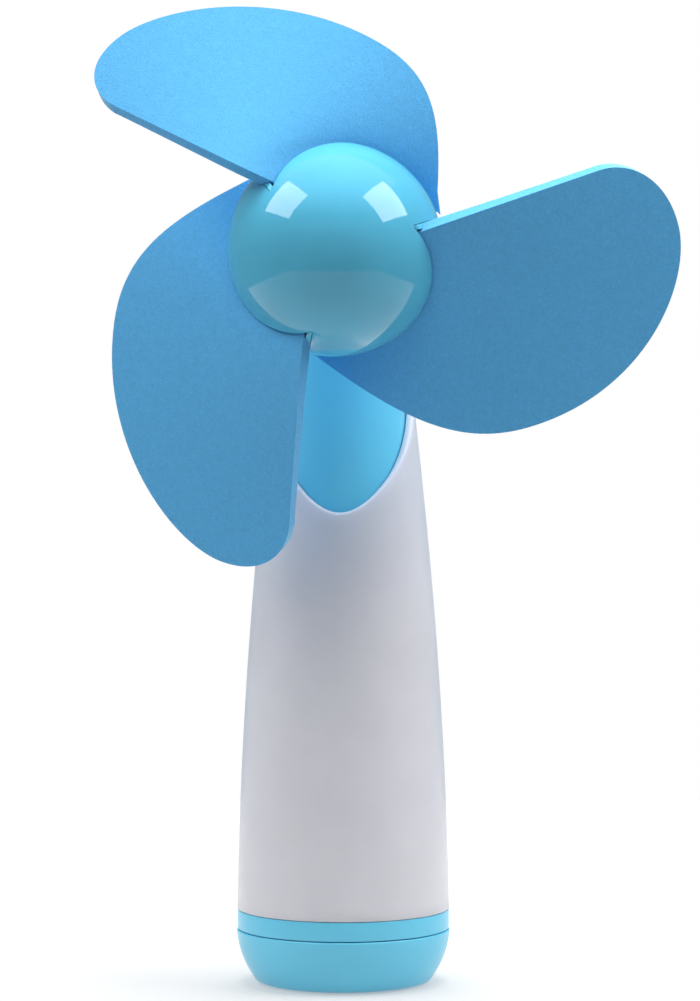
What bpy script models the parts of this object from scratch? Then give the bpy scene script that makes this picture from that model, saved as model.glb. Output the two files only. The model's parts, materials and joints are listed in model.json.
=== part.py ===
"""Handheld electric fan: tapered handle with two cells, a motor head and a hub with three foam blades.

Lengths are in millimetres until they become vertices. The origin is the middle of the flat base,
+Z is up and the hub faces -Y. Hub pieces are drawn in the hub's own frame: z runs forward along the
motor axis, x to the right and y up, with the origin at the middle of the hub's ball.
"""

import math

import bmesh
import bpy
from mathutils import Vector

MM = 0.001
MERGE_M = 1e-7
GAP = 0.3

# Handle: cap, ring and sleeve
CAP_R = 21.55
CAP_FLARE = 0.034
CAP_TOP = 10.75
CAP_WALL = 1.7
CAP_FLOOR = 1.8
FOOT_R = 16.5
RING_BOTTOM = 11.05
RING_TOP = 14.55
RING_R = 21.4
BAYONET_R = 18.0
BAYONET_LUGS = 3
LUG_HALF = 11.0
RING_LUG_R = (17.6, 18.4)
RING_LUG_Z = (5.9, 7.1)
CAP_LUG_R = (18.3, 20.0)
CAP_LUG_Z = (7.4, 8.6)
RING_FOOT = 5.5
SPIGOT_TOP = 22.0
PLATE_R = 13.5
PLATE_Z = (2.2, 2.9)
SLEEVE_BOTTOM = 14.85
SLEEVE_R = 21.45
SLEEVE_TAPER = 0.02
SLEEVE_CURVE = 0.0005
SLEEVE_TOP_R = 13.7
SLEEVE_BLEND = 0.6
SLEEVE_WALL = 1.4
CUT_Z = 96.0
CUT_SLOPE = 0.5
CUT_BEND = 0.018
CUT_STRAIGHT = 7.0

# Head and motor
HUB_Y = -41.0
HUB_Z = 148.5
HOUSING_BOTTOM = 78.0
HOUSING_WALL = 1.5
SNOUT_R = 11.7
SNOUT_FRONT = -23.6
MOTOR_R = 10.0
MOTOR_FLAT = 7.5
MOTOR_FRONT = 19.2
MOTOR_BACK = 39.3
CAN_WALL = 0.7
SHAFT_R = 1.0
BORE_R = 1.3
BUSH_R = 2.4
NOSE_R = 2.7
NOSE_HOLE_R = 3.6
MAGNET_R = (7.1, 8.9)
BOSS_HOUSING_R = 2.6
SCREW_RECESS_R = 2.5
SCREW_SEAT = 3.2
WIRE_R = 0.5
SCREW_HEIGHTS = (90.0, 127.0)

# Cells and their holder
CELL_R = 7.15
CELL_X = 7.5
CELL_BOTTOM = 3.2
CELL_LENGTH = 50.5
NUB_R = 2.7
NUB_HEIGHT = 1.4
HOLDER_BOTTOM = 12.0
HOLDER_TOP = 61.5
HOLDER_R = 8.55
POCKET_R = 7.45
POCKET_TOP = 60.0
LEAD_HOLE_R = 1.2
CONTACT_R = 5.2
CONTACT_Z = (58.9, 59.6)
SPRING_R = 3.6
SPRING_TURNS = 4
SPRING_Z = (54.4, 58.2)
SPRING_WIRE_R = 0.3

# Switch, on the back of the handle
SWITCH_Z = 71.0
SWITCH_TRAVEL = 4.0
SWITCH_SCREWS = (64.4, 77.8)
SWITCH_Y = (11.3, 15.3)
EAR_FRONT = 12.1
SWITCH_HALF = 5.0
WINDOW_HALF = (3.4, 4.9)
PORT_HALF = (3.4, 4.0)
KNOB_Y = 16.0
KNOB_HALF = (3.0, 2.5)
WALL_Y = (9.0, 11.0)

# Hub and blades
HUB_R = 20.8
DOME_WALL = 1.7
NOTCHES = (16.5, 136.5, 256.5)
SECTOR = 120.0
RIM_FRONT = 13.0
RIM_DROP = 24.4
SLOT_GAP = 3.1
HUB_BACK = -17.0
RAMP_R = 8.0
RAMP_MIDDLE_R = 12.0
BOSS_R = 4.5
BOSS_TOP = 8.0
POST_R = (4.8, 6.4)
FOAM = 2.2
ROOT_R = 9.5
ROOT_SPAN = (14.0, 112.0)
LEAN_START = 6.0

# The flat blade seen from the front: x runs out along its straight edge, y is negative on the blade.
LEADING_EXIT = (17.4, -1.52)
TIP_CURVE = ((53.0, 0.0), (59.5, 0.3), (65.5, -5.5), (64.6, -15.5))
OUTER_CURVE = ((64.6, -15.5), (63.2, -27.0), (49.0, -43.8), (26.0, -43.8))
BACK_CURVE = ((26.0, -43.8), (12.0, -43.8), (3.0, -35.5), (-9.4, -19.3))

# How each soft blade hangs: how far it is foreshortened and in which direction, its swing, its
# shift out of the hub and how steeply it leans back.
FLEX = (
    {"squeeze": 1.0, "stretch": 1.0, "along": -50.0, "swing": 0.0, "shift": (0.0, 0.0), "lean": 0.20},
    {"squeeze": 0.716, "stretch": 1.033, "along": -47.5, "swing": 3.5, "shift": (3.3, -2.1), "lean": 0.50},
    {"squeeze": 0.839, "stretch": 1.036, "along": -56.0, "swing": 1.3, "shift": (2.4, -2.1), "lean": 0.40},
)

COLOURS = {
    "cyan_gloss": ((0.16, 0.62, 0.86), 0.12, 0.0),
    "cyan_satin": ((0.14, 0.58, 0.82), 0.35, 0.0),
    "foam_blue": ((0.07, 0.42, 0.78), 0.85, 0.0),
    "sleeve_white": ((0.86, 0.85, 0.87), 0.4, 0.0),
    "inner_white": ((0.8, 0.8, 0.78), 0.5, 0.0),
    "switch_black": ((0.03, 0.03, 0.03), 0.5, 0.0),
    "steel": ((0.6, 0.6, 0.62), 0.3, 1.0),
    "brass": ((0.75, 0.55, 0.25), 0.3, 1.0),
    "copper": ((0.72, 0.32, 0.15), 0.3, 1.0),
    "magnet": ((0.08, 0.08, 0.09), 0.6, 0.3),
    "cell_jacket": ((0.12, 0.14, 0.16), 0.4, 0.0),
    "wire_red": ((0.7, 0.05, 0.04), 0.45, 0.0),
    "wire_black": ((0.03, 0.03, 0.03), 0.45, 0.0),
}


# Materials and objects


def material(name):
    """The named colour as a Principled material, made once."""
    found = bpy.data.materials.get(name)
    if found:
        return found
    made = bpy.data.materials.new(name)
    made.use_nodes = True
    shader = made.node_tree.nodes["Principled BSDF"]
    colour, roughness, metallic = COLOURS[name]
    shader.inputs["Base Color"].default_value = (*colour, 1.0)
    shader.inputs["Roughness"].default_value = roughness
    shader.inputs["Metallic"].default_value = metallic
    return made


def finish(name, form, look, parent=None, smooth=30.0):
    """Turns a bmesh drawn in millimetres into a named object."""
    bmesh.ops.scale(form, vec=(MM, MM, MM), verts=form.verts)
    bmesh.ops.remove_doubles(form, verts=form.verts, dist=MERGE_M)
    bmesh.ops.recalc_face_normals(form, faces=form.faces)
    mesh = bpy.data.meshes.new(name)
    form.to_mesh(mesh)
    form.free()
    mesh.materials.append(material(look))
    mesh.shade_smooth()
    mesh.set_sharp_from_angle(angle=math.radians(smooth))
    made = bpy.data.objects.new(name, mesh)
    bpy.context.scene.collection.objects.link(made)
    made.parent = parent
    return made


def axis_empty(name, place, tilt=0.0):
    """An empty on a moving body's axis; tilt 90 turns local z to face the front."""
    made = bpy.data.objects.new(name, None)
    bpy.context.scene.collection.objects.link(made)
    made.location = Vector(place) * MM
    made.rotation_euler = (math.radians(tilt), 0.0, 0.0)
    return made


def cut(target, tool, operation="DIFFERENCE"):
    """Adds a Boolean and hides its tool from renders."""
    tool.hide_render = True
    tool.display_type = "WIRE"
    step = target.modifiers.new(operation.lower(), "BOOLEAN")
    step.operation = operation
    step.solver = "EXACT"
    step.object = tool


# Shapes


def turned(profile, segments, middle=(0.0, 0.0), closed=True):
    """A profile of (radius, height) points turned about a vertical axis; closed profiles make rings."""
    form = bmesh.new()
    points = list(profile) + ([profile[0]] if closed else [])
    for step in range(segments):
        pair = [2 * math.pi * (step + end) / segments for end in (0, 1)]
        for low, high in zip(points, points[1:]):
            corners = []
            for angle, (radius, height) in ((pair[0], low), (pair[1], low), (pair[1], high), (pair[0], high)):
                spot = Vector((radius * math.cos(angle), radius * math.sin(angle), height))
                if not any((spot - other).length < 1e-5 for other in corners):
                    corners.append(spot)
            if len(corners) > 2:
                form.faces.new([form.verts.new(corner) for corner in corners])
    bmesh.ops.remove_doubles(form, verts=form.verts, dist=1e-5)
    bmesh.ops.translate(form, verts=form.verts, vec=(*middle, 0.0))
    return form


def rod(radius, low, high, segments=16, middle=(0.0, 0.0)):
    return turned([(0.0, low), (radius, low), (radius, high), (0.0, high)], segments, middle, closed=False)


def tube(inner, outer, low, high, segments=24, middle=(0.0, 0.0)):
    return turned([(inner, low), (outer, low), (outer, high), (inner, high)], segments, middle)


def box(x, y, z):
    """A block from its spans along x, y and z."""
    form = bmesh.new()
    bmesh.ops.create_cube(form, size=1.0)
    size = [high - low for low, high in (x, y, z)]
    bmesh.ops.scale(form, vec=size, verts=form.verts)
    bmesh.ops.translate(form, verts=form.verts, vec=[(low + high) / 2 for low, high in (x, y, z)])
    return form


def extruded(outline, low, high):
    """A flat outline raised from one height to another."""
    form = bmesh.new()
    base = form.faces.new([form.verts.new((x, y, low)) for x, y in outline])
    raised = bmesh.ops.extrude_face_region(form, geom=[base])
    tops = [item for item in raised["geom"] if isinstance(item, bmesh.types.BMVert)]
    bmesh.ops.translate(form, verts=tops, vec=(0.0, 0.0, high - low))
    return form


def facing(form):
    """Turns a shape drawn along z so that its z runs towards +Y, about the origin."""
    for vert in form.verts:
        x, y, z = vert.co
        vert.co = (x, z, -y)
    bmesh.ops.recalc_face_normals(form, faces=form.faces)
    return form


def moved(form, offset):
    bmesh.ops.translate(form, verts=form.verts, vec=offset)
    return form


def woven(columns, wrap=True):
    """A closed skin from columns of points: each column is a closed loop, and the last meets the first."""
    form = bmesh.new()
    rows = [[form.verts.new(point) for point in column] for column in columns]
    count = len(rows[0])
    for index in range(len(rows) if wrap else len(rows) - 1):
        here = rows[index]
        there = rows[(index + 1) % len(rows)]
        for step in range(count):
            following = (step + 1) % count
            form.faces.new((here[step], there[step], there[following], here[following]))
    if not wrap:
        form.faces.new(rows[0])
        form.faces.new(list(reversed(rows[-1])))
    bmesh.ops.recalc_face_normals(form, faces=form.faces)
    return form


def bezier(control, amount):
    """A point on a cubic curve."""
    a, b, c, d = (Vector(point) for point in control)
    rest = 1.0 - amount
    return a * rest**3 + b * 3 * rest**2 * amount + c * 3 * rest * amount**2 + d * amount**3


def lead(name, route, radius, look, per_span=3, turns=False):
    """A wire through its route's points, as a poly curve with filled ends."""
    points = [Vector(point) for point in route]
    if not turns:
        ends = [2 * points[0] - points[1]] + points + [2 * points[-1] - points[-2]]
        smooth = []
        for a, b, c, d in zip(ends, ends[1:], ends[2:], ends[3:]):
            for step in range(per_span):
                t = step / per_span
                smooth.append(0.5 * (2 * b + (c - a) * t + (2 * a - 5 * b + 4 * c - d) * t**2
                                     + (3 * b - a - 3 * c + d) * t**3))
        points = smooth + [points[-1]]
    curve = bpy.data.curves.new(name, "CURVE")
    curve.dimensions = "3D"
    curve.bevel_depth = radius * MM
    curve.bevel_resolution = 1
    curve.use_fill_caps = True
    spline = curve.splines.new("POLY")
    spline.points.add(len(points) - 1)
    for slot, point in zip(spline.points, points):
        slot.co = (*(point * MM), 1.0)
    curve.materials.append(material(look))
    made = bpy.data.objects.new(name, curve)
    bpy.context.scene.collection.objects.link(made)
    return made


# Handle


def cap_radius(height):
    return CAP_R - CAP_FLARE * (RING_BOTTOM - height) ** 2


def sleeve_radius(height):
    """The handle's outer radius: a slow curve inwards that levels out below the head."""
    climb = height - SLEEVE_BOTTOM
    bell = SLEEVE_R - SLEEVE_TAPER * climb - SLEEVE_CURVE * climb**2
    return (bell + SLEEVE_TOP_R + math.hypot(bell - SLEEVE_TOP_R, SLEEVE_BLEND)) / 2


def cut_depth(height):
    """Where the sleeve's slanting top edge lies along y at each height."""
    climb = height - CUT_Z
    curved = min(climb, CUT_STRAIGHT)
    depth = CUT_SLOPE * curved + CUT_BEND * curved**2
    slope = CUT_SLOPE + 2 * CUT_BEND * CUT_STRAIGHT
    return depth + slope * max(climb - CUT_STRAIGHT, 0.0) - sleeve_radius(CUT_Z)


def sleeve_top(angle):
    """The height at which the sleeve ends, for an angle measured round from the front."""
    low, high = CUT_Z - 1.0, HUB_Z
    for _ in range(40):
        middle = (low + high) / 2
        if cut_depth(middle) + sleeve_radius(middle) * math.cos(angle) < 0.0:
            low = middle
        else:
            high = middle
    return low


def make_sleeve():
    columns = []
    rows = 7
    count = 36
    for step in range(count):
        angle = 2 * math.pi * step / count
        top = sleeve_top(angle)
        heights = [SLEEVE_BOTTOM + (top - SLEEVE_BOTTOM) * row / rows for row in range(rows + 1)]
        outline = [(sleeve_radius(height), height) for height in heights]
        outline += [(sleeve_radius(height) - SLEEVE_WALL, height) for height in reversed(heights)]
        columns.append([(r * math.sin(angle), -r * math.cos(angle), z) for r, z in outline])
    sleeve = finish("handle_sleeve", woven(columns), "sleeve_white")
    wide, tall = WINDOW_HALF
    window = box((-wide, wide), (12.0, 24.0), (SWITCH_Z - tall, SWITCH_Z + tall))
    cut(sleeve, finish("switch_window", window, "sleeve_white"))


def make_base_ring():
    spigot = sleeve_radius(SPIGOT_TOP) - SLEEVE_WALL - GAP
    bayonet_inside, spigot_inside = 16.4, 17.7
    profile = [
        (bayonet_inside, RING_FOOT), (BAYONET_R, RING_FOOT), (BAYONET_R, RING_BOTTOM), (RING_R, RING_BOTTOM),
        (RING_R, RING_TOP), (spigot, RING_TOP), (spigot, SPIGOT_TOP), (spigot_inside, SPIGOT_TOP),
        (spigot_inside, RING_TOP), (bayonet_inside, RING_TOP),
    ]
    ring = finish("base_ring", turned(profile, 36), "cyan_satin")
    for index in range(BAYONET_LUGS):
        lug = arc_block(*RING_LUG_R, *RING_LUG_Z, index * SECTOR, LUG_HALF)
        cut(ring, finish(f"ring_lug_{index + 1}", lug, "cyan_satin"), "UNION")


def arc_block(inner, outer, low, high, middle, half, steps=3):
    """A block bent round the z axis, from its radii, heights and angles."""
    columns = []
    for step in range(steps + 1):
        angle = math.radians(middle - half + 2 * half * step / steps)
        loop = ((inner, low), (outer, low), (outer, high), (inner, high))
        columns.append([(r * math.cos(angle), r * math.sin(angle), z) for r, z in loop])
    return woven(columns, wrap=False)


def make_cap():
    """The twist-off battery cap, with its lugs above the ring's lugs, and the plate that joins the cells."""
    pivot = axis_empty("cap_axis", (0.0, 0.0, 0.0))
    steps = 5
    chamfer = 0.45
    heights = [chamfer + (CAP_TOP - chamfer) * step / steps for step in range(steps + 1)]
    outer = [(FOOT_R, 0.0)] + [(cap_radius(height), height) for height in heights]
    inner_heights = [height for height in reversed(heights) if height > CAP_FLOOR]
    inner = [(cap_radius(height) - CAP_WALL, height) for height in inner_heights]
    profile = [(0.0, 0.0)] + outer + inner
    profile += [(cap_radius(CAP_FLOOR) - CAP_WALL, CAP_FLOOR), (0.0, CAP_FLOOR)]
    cap = finish("battery_cap", turned(profile, 36, closed=False), "cyan_satin", pivot)
    for index in range(BAYONET_LUGS):
        lug = arc_block(*CAP_LUG_R, *CAP_LUG_Z, index * SECTOR, LUG_HALF)
        cut(cap, finish(f"cap_lug_{index + 1}", lug, "cyan_satin", pivot), "UNION")
    finish("contact_plate", rod(PLATE_R, *PLATE_Z, 32), "steel", pivot)


def stadium(radius, reach, steps=10):
    """A slot-shaped outline with round ends at plus and minus reach."""
    points = []
    for side in (1, -1):
        for step in range(steps + 1):
            angle = math.pi * (step / steps - 0.5)
            points.append((side * (reach + radius * math.cos(angle)), side * radius * math.sin(angle)))
    return points


def make_battery_holder():
    """A twin tube for the cells, with a shelf and an upright wall that carries the switch."""
    body = extruded(stadium(HOLDER_R, CELL_X), HOLDER_BOTTOM, HOLDER_TOP)
    holder = finish("battery_holder", body, "inner_white")
    foot = finish("switch_foot", box((-5.5, 5.5), (6.0, 11.0), (60.5, 64.0)), "inner_white")
    wall = finish("switch_wall", box((-5.4, 5.4), (WALL_Y[0], WALL_Y[1] - 0.01), (63.5, 80.5)), "inner_white")
    cut(holder, foot, "UNION")
    cut(holder, wall, "UNION")
    for side in (-1, 1):
        pocket = rod(POCKET_R, HOLDER_BOTTOM - 2.0, POCKET_TOP, 24, (side * CELL_X, 0.0))
        cut(holder, finish(f"pocket_{side + 1}", pocket, "inner_white"))
        hole = rod(LEAD_HOLE_R, POCKET_TOP - 1.0, HOLDER_TOP + 3.5, 10, (side * CELL_X, 0.0))
        cut(holder, finish(f"lead_hole_{side + 1}", hole, "inner_white"))
    middle = box((-2.2, 2.2), (-5.0, 5.0), (HOLDER_BOTTOM - 2.0, POCKET_TOP))
    cut(holder, finish("pocket_middle", middle, "inner_white"))
    wide, tall = PORT_HALF
    port = box((-wide, wide), (WALL_Y[0] - 1.0, WALL_Y[1] + 1.0), (SWITCH_Z - tall, SWITCH_Z + tall))
    cut(holder, finish("terminal_port", port, "inner_white"))
    for index, height in enumerate(SWITCH_SCREWS):
        hole = moved(facing(rod(0.9, 0.0, 4.0, 8)), (0.0, WALL_Y[0] - 0.5, height))
        cut(holder, finish(f"switch_screw_hole_{index + 1}", hole, "inner_white"))


def make_cells():
    """Two cells side by side, one with its nub up and one with its nub down, and their top contacts."""
    top = CELL_BOTTOM + CELL_LENGTH
    can = CELL_R - 0.5
    upright = [
        (0.0, CELL_BOTTOM), (can, CELL_BOTTOM), (CELL_R, CELL_BOTTOM + 0.5), (CELL_R, top - NUB_HEIGHT - 0.5),
        (can, top - NUB_HEIGHT), (NUB_R, top - NUB_HEIGHT), (NUB_R, top), (0.0, top),
    ]
    flipped = [(radius, CELL_BOTTOM + top - height) for radius, height in reversed(upright)]
    finish("battery_1", turned(upright, 24, (-CELL_X, 0.0), closed=False), "cell_jacket")
    finish("battery_2", turned(flipped, 24, (CELL_X, 0.0), closed=False), "cell_jacket")
    low, high = CONTACT_Z
    hat = [(0.0, 54.0), (1.8, 54.0), (3.0, low), (CONTACT_R, low), (CONTACT_R, high), (0.0, high)]
    finish("contact_positive", turned(hat, 16, (-CELL_X, 0.0), closed=False), "steel")
    finish("contact_negative", rod(CONTACT_R, low, high, 16, (CELL_X, 0.0)), "steel")
    low, high = SPRING_Z
    count = 7 * SPRING_TURNS
    helix = []
    for step in range(count + 1):
        share = step / count
        angle = 2 * math.pi * SPRING_TURNS * share
        across = (CELL_X + SPRING_R * math.cos(angle), SPRING_R * math.sin(angle))
        helix.append((*across, low + (high - low) * share))
    lead("battery_spring", helix, SPRING_WIRE_R, "steel", turns=True)


# Head


def housing_radius(height):
    return sleeve_radius(height) - SLEEVE_WALL - GAP


def head_profile(inset, bottom):
    """The round neck that ends in a ball level with the motor axis."""
    rows = 4
    heights = [bottom + (HUB_Z - bottom) * row / rows for row in range(rows + 1)]
    profile = [(0.0, bottom)] + [(housing_radius(height) - inset, height) for height in heights]
    ball = housing_radius(HUB_Z) - inset
    for step in range(1, 4):
        angle = math.pi / 2 * step / 4
        profile.append((ball * math.cos(angle), HUB_Z + ball * math.sin(angle)))
    return profile + [(0.0, HUB_Z + ball)]


def make_housing():
    """The front and rear shells of neck and head, cut from one form along the plane y = 0."""
    for name, side in (("housing_front", -1), ("housing_rear", 1)):
        shell = finish(name, turned(head_profile(0.0, HOUSING_BOTTOM), 28, closed=False), "cyan_satin")
        if side < 0:
            snout = moved(facing(rod(SNOUT_R, SNOUT_FRONT, -2.0, 28)), (0.0, 0.0, HUB_Z))
            cut(shell, finish("snout", snout, "cyan_satin"), "UNION")
        other_half = (-GAP / 2, 30.0) if side < 0 else (-30.0, GAP / 2)
        cut(shell, finish(f"{name}_parting", box((-30.0, 30.0), other_half, (60.0, 180.0)), "cyan_satin"))
        hollow = turned(head_profile(HOUSING_WALL, HOUSING_BOTTOM - 5.0), 28, closed=False)
        cut(shell, finish(f"{name}_hollow", hollow, "cyan_satin"))
        for index, height in enumerate(SCREW_HEIGHTS):
            reach = housing_radius(height) - HOUSING_WALL / 2
            span = (-reach, -GAP) if side < 0 else (GAP, reach)
            boss = moved(facing(rod(BOSS_HOUSING_R, *span, 14)), (0.0, 0.0, height))
            cut(shell, finish(f"{name}_boss_{index + 1}", boss, "cyan_satin"), "UNION")
            depth = (-7.0, 2.0) if side < 0 else (-1.0, 20.0)
            pilot = moved(facing(rod(BORE_R, *depth, 10)), (0.0, 0.0, height))
            cut(shell, finish(f"{name}_pilot_{index + 1}", pilot, "cyan_satin"))
            if side > 0:
                recess = moved(facing(rod(SCREW_RECESS_R, reach - SCREW_SEAT, 20.0, 12)), (0.0, 0.0, height))
                cut(shell, finish(f"{name}_recess_{index + 1}", recess, "cyan_satin"))
        if side < 0:
            seat = moved(facing(rod(MOTOR_R + GAP, SNOUT_FRONT + 1.5, 3.0, 28)), (0.0, 0.0, HUB_Z))
            cut(shell, finish("motor_seat", seat, "cyan_satin"))
            nose = facing(rod(NOSE_HOLE_R, SNOUT_FRONT - 2.0, SNOUT_FRONT + 3.0, 16))
            cut(shell, finish("nose_hole", moved(nose, (0.0, 0.0, HUB_Z)), "cyan_satin"))


def screw(name, place, length, shank, head, thick=1.3):
    """A pan-head screw whose head faces +Y, with its shank pointing to -Y from the head."""
    profile = [(0.0, -length), (shank, -length), (shank, 0.0), (head, 0.0), (head, thick * 0.6),
               (head * 0.6, thick), (0.0, thick)]
    finish(name, moved(facing(turned(profile, 12, closed=False)), place), "steel")


def make_screws():
    for index, height in enumerate(SCREW_HEIGHTS):
        seat = housing_radius(height) - HOUSING_WALL / 2 - SCREW_SEAT + GAP
        screw(f"housing_screw_{index + 1}", (0.0, seat, height), seat + 6.0, 1.0, 2.1)
    for index, height in enumerate(SWITCH_SCREWS):
        screw(f"switch_screw_{index + 1}", (0.0, 12.4, height), 3.0, 0.6, 1.3, 0.9)


def flatten(target, half, name, parent):
    """Cuts two flats, above and below the motor axis."""
    for index, side in enumerate((1, -1)):
        span = (half, 14.0) if side > 0 else (-14.0, -half)
        flat = box((-14.0, 14.0), span, (-60.0, 0.0))
        cut(target, finish(f"{name}_flat_{index + 1}", flat, "steel", parent))


def make_motor(axis):
    """The flat-sided can, its end cap, magnets, bushes, brushes and terminals."""
    profile = [(0.0, -MOTOR_FRONT), (MOTOR_R, -MOTOR_FRONT), (MOTOR_R, -MOTOR_BACK), (0.0, -MOTOR_BACK)]
    can = finish("motor_can", turned(profile, 24, closed=False), "steel", axis)
    flatten(can, MOTOR_FLAT, "can", axis)
    core_form = rod(MOTOR_R - CAN_WALL, -MOTOR_BACK - 2.0, -MOTOR_FRONT - CAN_WALL, 24)
    core = finish("can_hollow", core_form, "steel", axis)
    flatten(core, MOTOR_FLAT - CAN_WALL, "can_hollow", axis)
    cut(can, core)
    cut(can, finish("can_nose_hole", rod(NOSE_R, -MOTOR_FRONT - 2.0, -MOTOR_FRONT + 2.0, 12), "steel", axis))
    back = -MOTOR_BACK - GAP
    end_cap = finish("motor_end_cap", tube(NOSE_R, MOTOR_R - 0.4, back - 3.6, back, 24), "inner_white", axis)
    flatten(end_cap, MOTOR_FLAT - 0.2, "end_cap", axis)
    finish("bush_front", tube(BORE_R, BUSH_R, -MOTOR_FRONT - 1.5, -MOTOR_FRONT + 1.0, 12), "brass", axis)
    finish("bush_rear", tube(BORE_R, BUSH_R, back - 3.4, back - 0.6, 12), "brass", axis)
    for name, middle in (("magnet_left", 180.0), ("magnet_right", 0.0)):
        finish(name, arc_block(*MAGNET_R, -35.5, -22.5, middle, 42.0, 6), "magnet", axis)
    for name, side in (("left", -1), ("right", 1)):
        inner, outer = sorted((side * 2.8, side * 3.2))
        finish(f"brush_{name}", box((inner, outer), (-0.9, 0.9), (-38.7, -36.5)), "brass", axis)
        near, far = sorted((side * 5.0, side * 5.5))
        low = back - 3.9
        finish(f"terminal_{name}", box((near, far), (-1.2, 1.2), (low - 2.4, low)), "brass", axis)


# Rotor


def rim_height(turn):
    """Height of the dome's lower edge, turn degrees clockwise from a notch."""
    return RIM_FRONT - RIM_DROP * turn / SECTOR


def spot(radius, height, turn, notch):
    angle = math.radians(notch - turn)
    return (radius * math.cos(angle), radius * math.sin(angle), height)


def ball_point(ball, polar, turn, notch):
    return Vector(spot(ball * math.sin(polar), ball * math.cos(polar), turn, notch))


def make_dome(axis):
    """The glossy front shell: a round top, and three skirts whose edges drop behind the blades."""
    turns = [0.4, 8.0] + [20.0 + 14.0 * step for step in range(7)] + [112.0, 119.2]
    balls = (HUB_R, HUB_R - DOME_WALL)
    cap_rows, skirt_rows = 4, 4
    form = bmesh.new()

    def skin(columns, flip):
        for here, there in zip(columns, columns[1:]):
            for a, b, c, d in zip(here, there, there[1:], here[1:]):
                face(form, (a, b, c, d) if flip else (d, c, b, a))

    last = len(turns) - 1
    for index, notch in enumerate(NOTCHES):
        tops, skirts = [], []
        for ball in balls:
            start = math.acos(rim_height(0.0) / ball)
            polars = [start * row / cap_rows for row in range(cap_rows + 1)]
            tops.append([[ball_point(ball, polar, turn, notch) for polar in polars] for turn in turns])
            skirt = []
            for place, turn in enumerate(turns):
                end = start if place == 0 else math.acos(rim_height(turn) / ball)
                skirt.append([ball_point(ball, start + (end - start) * row / skirt_rows, turn, notch)
                              for row in range(skirt_rows + 1)])
            skirts.append(skirt)
        following = NOTCHES[index - 1]
        ledge = []
        for side, flip in ((0, True), (1, False)):
            start = math.acos(rim_height(0.0) / balls[side])
            first = [ball_point(balls[side], start * row / cap_rows, turns[0], following)
                     for row in range(cap_rows + 1)]
            skin(tops[side] + [first], flip)
            skin(skirts[side], flip)
            ledge.append((tops[side][-1][-1], first[-1]))
        face(form, (*ledge[0], *reversed(ledge[1])))
        for place in range(last):
            face(form, (skirts[0][place][-1], skirts[0][place + 1][-1],
                        skirts[1][place + 1][-1], skirts[1][place][-1]))
        for outer, inner, outer_next, inner_next in zip(
            skirts[0][last], skirts[1][last], skirts[0][last][1:], skirts[1][last][1:]
        ):
            face(form, (outer, outer_next, inner_next, inner))
    bmesh.ops.remove_doubles(form, verts=form.verts, dist=1e-4)
    dome = finish("hub_dome", form, "cyan_gloss", axis)
    post = tube(*POST_R, -6.0, HUB_R - 1.5, 16)
    cut(dome, finish("dome_post", post, "cyan_gloss", axis), "UNION")


def face(form, corners):
    """A face from points, leaving out any that coincide."""
    kept = []
    for corner in corners:
        if not any((Vector(corner) - Vector(other)).length < 1e-4 for other in kept):
            kept.append(corner)
    if len(kept) > 2:
        form.faces.new([form.verts.new(corner) for corner in kept])


def make_hub_rear(axis):
    """The rear half: a spiral ramp under each blade, with a rib where the next one starts."""
    rib_start, rib_end, wall_end = 1.2, 2.6, 6.0
    shelf = HUB_BACK + 1.8
    inner_ball = HUB_R - DOME_WALL
    columns = []
    for notch in reversed(NOTCHES):
        stops = [
            (rib_start - 0.1, rim_height(SECTOR) - SLOT_GAP, False),
            (rib_start, rim_height(rib_start) - GAP, True),
            (rib_end, rim_height(rib_end) - GAP, True),
            (rib_end + 0.1, rim_height(rib_end) - SLOT_GAP, True),
            (wall_end, rim_height(wall_end) - SLOT_GAP, True),
            (wall_end + 0.1, rim_height(wall_end) - SLOT_GAP, False),
        ]
        stops += [(turn, rim_height(turn) - SLOT_GAP, False) for turn in range(15, 117, 10)]
        for turn, top, solid in stops:
            under = shelf if solid else max(top - 1.8, shelf)
            arc = [top + (HUB_BACK - top) * step / 3 for step in range(4)]
            loop = [(RAMP_R, top), (RAMP_MIDDLE_R, top)] + [(math.sqrt(HUB_R**2 - z**2), z) for z in arc]
            loop += [(RAMP_R, HUB_BACK), (RAMP_R, HUB_BACK + 1.6)]
            rise = [HUB_BACK + 1.6 + (under - HUB_BACK - 1.6) * step / 2 for step in range(3)]
            loop += [(math.sqrt(inner_ball**2 - z**2), z) for z in rise]
            loop += [(RAMP_R, under)]
            columns.append([spot(radius, height, turn, notch) for radius, height in loop])
    rear = finish("hub_rear", woven(columns), "cyan_satin", axis)
    floor, web, web_r = HUB_BACK + 0.1, HUB_BACK + 1.5, 8.6
    boss = [(BORE_R, floor), (web_r, floor), (web_r, web), (BOSS_R, web)]
    boss += [(BOSS_R, BOSS_TOP), (BORE_R, BOSS_TOP)]
    cut(rear, finish("rear_boss", turned(boss, 16), "cyan_satin", axis), "UNION")


def lean_back(radius, slope):
    """How far a blade has leant back at a radius: nothing inside the hub, then a smooth slope."""
    past = max(radius - HUB_R, 0.0)
    return slope * past * past / (past + LEAN_START)


def flexed(point, flex):
    """A point of the flat blade after the foam has bent, still in the plane facing the front."""
    angle = math.radians(flex["along"])
    along = Vector((math.cos(angle), math.sin(angle)))
    across = Vector((-along.y, along.x))
    bent = along * (along.dot(point) * flex["squeeze"]) + across * (across.dot(point) * flex["stretch"])
    swing = math.radians(flex["swing"])
    return Vector((
        bent.x * math.cos(swing) - bent.y * math.sin(swing) + flex["shift"][0],
        bent.x * math.sin(swing) + bent.y * math.cos(swing) + flex["shift"][1],
    ))


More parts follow.
